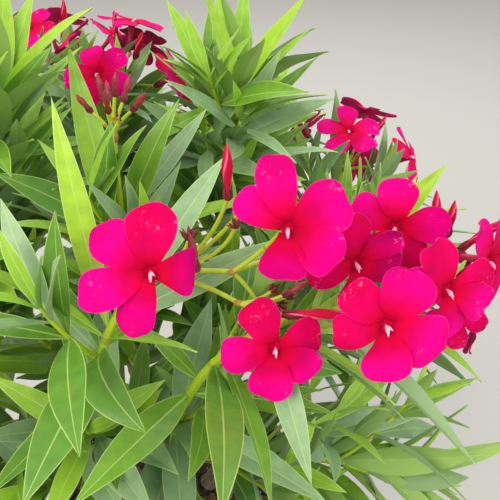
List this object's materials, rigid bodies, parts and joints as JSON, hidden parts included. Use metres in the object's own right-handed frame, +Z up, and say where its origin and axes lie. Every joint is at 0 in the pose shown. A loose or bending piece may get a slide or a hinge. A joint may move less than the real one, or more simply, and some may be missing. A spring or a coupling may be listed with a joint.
{
  "type": "potted oleander shrub",
  "caption": "Flowering oleander in a round nursery pot: canes forking into boughs, whorled narrow leaves, clusters of open pink flowers and buds.",
  "frame": {"origin": "centre of the pot's flat underside", "axes": "+Z up; -Y is the front, where the two largest flower clusters lean out; +X to the right seen from the front"},
  "size_m": [0.5064, 0.5252, 0.6451],
  "materials": {
    "pot_plastic": "satin",
    "potting_soil": "matte",
    "cane_bark": "matte",
    "green_bark": "matte",
    "leafy_shoot": "satin",
    "flowering_shoot": "satin"
  },
  "bodies": {
    "root": {"pot": "pot_plastic", "potting_soil": "potting_soil", "cane_front_left": "cane_bark", "cane_front_right": "cane_bark", "cane_right": "cane_bark", "cane_back_right": "cane_bark", "cane_back_left": "cane_bark", "cane_left": "cane_bark", "cane_middle": "cane_bark", "bough_01": "green_bark", "bough_02": "green_bark", "bough_03": "green_bark", "bough_04": "green_bark", "bough_05": "green_bark", "bough_06": "green_bark", "bough_07": "green_bark", "bough_08": "green_bark", "bough_09": "green_bark", "bough_10": "green_bark", "bough_11": "green_bark", "bough_12": "green_bark", "bough_13": "green_bark", "bough_14": "green_bark", "bough_15": "green_bark", "bough_16": "green_bark", "bough_17": "green_bark", "bough_18": "green_bark", "bough_19": "green_bark", "bough_20": "green_bark", "bough_21": "green_bark", "shoot_01": "flowering_shoot", "shoot_02": "flowering_shoot", "shoot_03": "leafy_shoot", "shoot_04": "leafy_shoot", "shoot_05": "leafy_shoot", "shoot_06": "leafy_shoot", "shoot_07": "leafy_shoot", "shoot_08": "flowering_shoot", "shoot_09": "flowering_shoot", "shoot_10": "flowering_shoot", "shoot_11": "flowering_shoot", "shoot_12": "leafy_shoot", "shoot_13": "leafy_shoot", "shoot_14": "flowering_shoot", "shoot_15": "leafy_shoot", "shoot_16": "flowering_shoot", "shoot_17": "leafy_shoot", "shoot_18": "leafy_shoot", "shoot_19": "leafy_shoot", "shoot_20": "leafy_shoot", "shoot_21": "leafy_shoot"}
  },
  "joints": []
}
